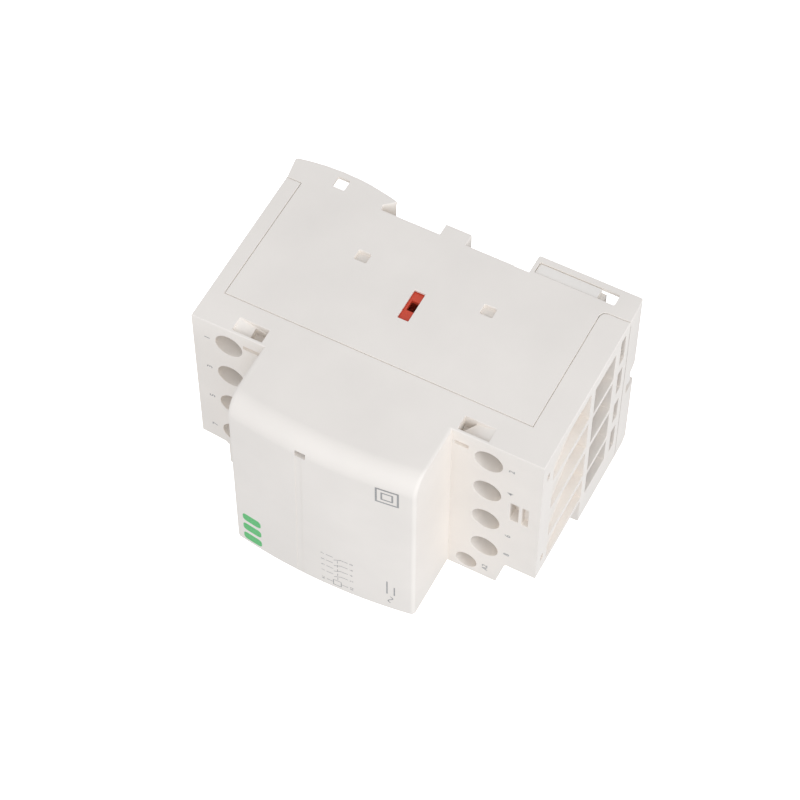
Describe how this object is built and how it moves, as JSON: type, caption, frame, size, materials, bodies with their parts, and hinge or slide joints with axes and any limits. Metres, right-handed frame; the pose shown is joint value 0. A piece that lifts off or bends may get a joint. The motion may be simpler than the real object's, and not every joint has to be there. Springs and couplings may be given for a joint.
{
  "type": "modular contactor",
  "caption": "Four-pole modular contactor for a 35 mm DIN rail, with an arched nose, recessed box terminals at both ends, a sliding rail clip and a sprung contact carrier.",
  "frame": {"origin": "centre of the outline's bounding box, on the plane of the lower side face that the device lies on", "axes": "+Z across the device's width, -Y towards its front, +X towards its lower end with the sliding clip"},
  "size_m": [0.0852, 0.068, 0.0535],
  "materials": {
    "housing_plastic": "warm light grey moulded polyamide, fine satin texture",
    "inner_thermoset": "beige moulded thermoset, matt",
    "carrier_red": "red moulded thermoplastic, satin",
    "laminated_iron": "stacked electrical steel sheets, ground pole faces",
    "zinc_steel": "zinc plated stamped steel",
    "screw_steel": "zinc plated turned steel",
    "copper": "bare copper",
    "copper_enamel": "enamelled copper wire, layer wound",
    "brass": "tinned copper alloy with silver alloy tips",
    "spring_steel": "spring wire",
    "rubber": "soft black rubber",
    "bobbin_nylon": "black glass filled nylon"
  },
  "bodies": {
    "housing": {"front_housing": "housing_plastic", "rear_base": "housing_plastic", "contact_block": "inner_thermoset", "magnet_core": "laminated_iron", "magnet_pad": "rubber", "shading_ring_left": "copper", "shading_ring_right": "copper", "coil_bobbin": "bobbin_nylon", "coil_winding": "copper_enamel", "return_spring_lower": "spring_steel", "return_spring_upper": "spring_steel", "clip_spring": "spring_steel", "fixed_contact_upper_1": "brass", "fixed_contact_upper_2": "brass", "fixed_contact_upper_3": "brass", "fixed_contact_upper_4": "brass", "fixed_contact_lower_1": "brass", "fixed_contact_lower_2": "brass", "fixed_contact_lower_3": "brass", "fixed_contact_lower_4": "brass", "coil_tab_upper": "brass", "coil_tab_lower": "brass"},
    "carrier": {"contact_carrier": "carrier_red", "armature": "laminated_iron", "state_flag": "carrier_red", "contact_spring_1": "spring_steel", "contact_spring_2": "spring_steel", "contact_spring_3": "spring_steel", "contact_spring_4": "spring_steel"},
    "rail_clip": {"din_clip": "housing_plastic"},
    "bridge_1": {"contact_bridge_1": "brass"},
    "bridge_2": {"contact_bridge_2": "brass"},
    "bridge_3": {"contact_bridge_3": "brass"},
    "bridge_4": {"contact_bridge_4": "brass"},
    "screw_upper_1": {"terminal_screw_upper_1": "screw_steel"},
    "cage_upper_1": {"clamp_cage_upper_1": "zinc_steel"},
    "screw_upper_2": {"terminal_screw_upper_2": "screw_steel"},
    "cage_upper_2": {"clamp_cage_upper_2": "zinc_steel"},
    "screw_upper_3": {"terminal_screw_upper_3": "screw_steel"},
    "cage_upper_3": {"clamp_cage_upper_3": "zinc_steel"},
    "screw_upper_4": {"terminal_screw_upper_4": "screw_steel"},
    "cage_upper_4": {"clamp_cage_upper_4": "zinc_steel"},
    "coil_screw_upper": {"coil_screw_upper": "screw_steel"},
    "coil_cage_upper": {"coil_cage_upper": "zinc_steel"},
    "screw_lower_1": {"terminal_screw_lower_1": "screw_steel"},
    "cage_lower_1": {"clamp_cage_lower_1": "zinc_steel"},
    "screw_lower_2": {"terminal_screw_lower_2": "screw_steel"},
    "cage_lower_2": {"clamp_cage_lower_2": "zinc_steel"},
    "screw_lower_3": {"terminal_screw_lower_3": "screw_steel"},
    "cage_lower_3": {"clamp_cage_lower_3": "zinc_steel"},
    "screw_lower_4": {"terminal_screw_lower_4": "screw_steel"},
    "cage_lower_4": {"clamp_cage_lower_4": "zinc_steel"},
    "coil_screw_lower": {"coil_screw_lower": "screw_steel"},
    "coil_cage_lower": {"coil_cage_lower": "zinc_steel"}
  },
  "joints": [
    {"name": "carrier_slide", "type": "slide", "parent": "housing", "child": "carrier", "axis": [0, -1, 0], "range_m": [0, 0.0024], "stiffness_N_per_m": 800, "springref_m": -0.006, "deforming": ["return_spring_lower", "return_spring_upper"]},
    {"name": "clip_slide", "type": "slide", "parent": "housing", "child": "rail_clip", "axis": [1, 0, 0], "range_m": [0, 0.0026], "stiffness_N_per_m": 500, "springref_m": -0.005, "deforming": ["clip_spring"]},
    {"name": "bridge_1_slide", "type": "slide", "parent": "carrier", "child": "bridge_1", "axis": [0, 1, 0], "range_m": [0, 0.00061], "deforming": ["contact_spring_1"]},
    {"name": "bridge_2_slide", "type": "slide", "parent": "carrier", "child": "bridge_2", "axis": [0, 1, 0], "range_m": [0, 0.00061], "deforming": ["contact_spring_2"]},
    {"name": "bridge_3_slide", "type": "slide", "parent": "carrier", "child": "bridge_3", "axis": [0, 1, 0], "range_m": [0, 0.00061], "deforming": ["contact_spring_3"]},
    {"name": "bridge_4_slide", "type": "slide", "parent": "carrier", "child": "bridge_4", "axis": [0, 1, 0], "range_m": [0, 0.00061], "deforming": ["contact_spring_4"]},
    {"name": "screw_upper_1_turn", "type": "hinge", "parent": "housing", "child": "screw_upper_1", "pos_m": [-0.03255, -0.00465, 0.0128], "axis": [0, 1, 0], "range_deg": [0, 1801]},
    {"name": "cage_upper_1_rise", "type": "slide", "parent": "housing", "child": "cage_upper_1", "axis": [0, -1, 0], "range_m": [0, 0.004]},
    {"name": "screw_upper_2_turn", "type": "hinge", "parent": "housing", "child": "screw_upper_2", "pos_m": [-0.03255, -0.00465, 0.0242], "axis": [0, 1, 0], "range_deg": [0, 1801]},
    {"name": "cage_upper_2_rise", "type": "slide", "parent": "housing", "child": "cage_upper_2", "axis": [0, -1, 0], "range_m": [0, 0.004]},
    {"name": "screw_upper_3_turn", "type": "hinge", "parent": "housing", "child": "screw_upper_3", "pos_m": [-0.03255, -0.00465, 0.0356], "axis": [0, 1, 0], "range_deg": [0, 1801]},
    {"name": "cage_upper_3_rise", "type": "slide", "parent": "housing", "child": "cage_upper_3", "axis": [0, -1, 0], "range_m": [0, 0.004]},
    {"name": "screw_upper_4_turn", "type": "hinge", "parent": "housing", "child": "screw_upper_4", "pos_m": [-0.03255, -0.00465, 0.047], "axis": [0, 1, 0], "range_deg": [0, 1801]},
    {"name": "cage_upper_4_rise", "type": "slide", "parent": "housing", "child": "cage_upper_4", "axis": [0, -1, 0], "range_m": [0, 0.004]},
    {"name": "coil_screw_upper_turn", "type": "hinge", "parent": "housing", "child": "coil_screw_upper", "pos_m": [-0.02815, -0.01015, 0.0038], "axis": [0, 1, 0], "range_deg": [0, 864.5]},
    {"name": "coil_cage_upper_rise", "type": "slide", "parent": "housing", "child": "coil_cage_upper", "axis": [0, -1, 0], "range_m": [0, 0.0012]},
    {"name": "screw_lower_1_turn", "type": "hinge", "parent": "housing", "child": "screw_lower_1", "pos_m": [0.03005, -0.00465, 0.0128], "axis": [0, 1, 0], "range_deg": [0, 1801]},
    {"name": "cage_lower_1_rise", "type": "slide", "parent": "housing", "child": "cage_lower_1", "axis": [0, -1, 0], "range_m": [0, 0.004]},
    {"name": "screw_lower_2_turn", "type": "hinge", "parent": "housing", "child": "screw_lower_2", "pos_m": [0.03005, -0.00465, 0.0242], "axis": [0, 1, 0], "range_deg": [0, 1801]},
    {"name": "cage_lower_2_rise", "type": "slide", "parent": "housing", "child": "cage_lower_2", "axis": [0, -1, 0], "range_m": [0, 0.004]},
    {"name": "screw_lower_3_turn", "type": "hinge", "parent": "housing", "child": "screw_lower_3", "pos_m": [0.03005, -0.00465, 0.0356], "axis": [0, 1, 0], "range_deg": [0, 1801]},
    {"name": "cage_lower_3_rise", "type": "slide", "parent": "housing", "child": "cage_lower_3", "axis": [0, -1, 0], "range_m": [0, 0.004]},
    {"name": "screw_lower_4_turn", "type": "hinge", "parent": "housing", "child": "screw_lower_4", "pos_m": [0.03005, -0.00465, 0.047], "axis": [0, 1, 0], "range_deg": [0, 1801]},
    {"name": "cage_lower_4_rise", "type": "slide", "parent": "housing", "child": "cage_lower_4", "axis": [0, -1, 0], "range_m": [0, 0.004]},
    {"name": "coil_screw_lower_turn", "type": "hinge", "parent": "housing", "child": "coil_screw_lower", "pos_m": [0.02565, -0.01015, 0.0038], "axis": [0, 1, 0], "range_deg": [0, 864.5]},
    {"name": "coil_cage_lower_rise", "type": "slide", "parent": "housing", "child": "coil_cage_lower", "axis": [0, -1, 0], "range_m": [0, 0.0012]}
  ],
  "couplings": [
    {"joint": "bridge_1_slide", "follows": "carrier_slide", "ratio": 0.25},
    {"joint": "bridge_2_slide", "follows": "carrier_slide", "ratio": 0.25},
    {"joint": "bridge_3_slide", "follows": "carrier_slide", "ratio": 0.25},
    {"joint": "bridge_4_slide", "follows": "carrier_slide", "ratio": 0.25},
    {"joint": "screw_upper_1_turn", "follows": "cage_upper_1_rise", "rad_per_m": 7854},
    {"joint": "screw_upper_2_turn", "follows": "cage_upper_2_rise", "rad_per_m": 7854},
    {"joint": "screw_upper_3_turn", "follows": "cage_upper_3_rise", "rad_per_m": 7854},
    {"joint": "screw_upper_4_turn", "follows": "cage_upper_4_rise", "rad_per_m": 7854},
    {"joint": "coil_screw_upper_turn", "follows": "coil_cage_upper_rise", "rad_per_m": 12566},
    {"joint": "screw_lower_1_turn", "follows": "cage_lower_1_rise", "rad_per_m": 7854},
    {"joint": "screw_lower_2_turn", "follows": "cage_lower_2_rise", "rad_per_m": 7854},
    {"joint": "screw_lower_3_turn", "follows": "cage_lower_3_rise", "rad_per_m": 7854},
    {"joint": "screw_lower_4_turn", "follows": "cage_lower_4_rise", "rad_per_m": 7854},
    {"joint": "coil_screw_lower_turn", "follows": "coil_cage_lower_rise", "rad_per_m": 12566}
  ]
}
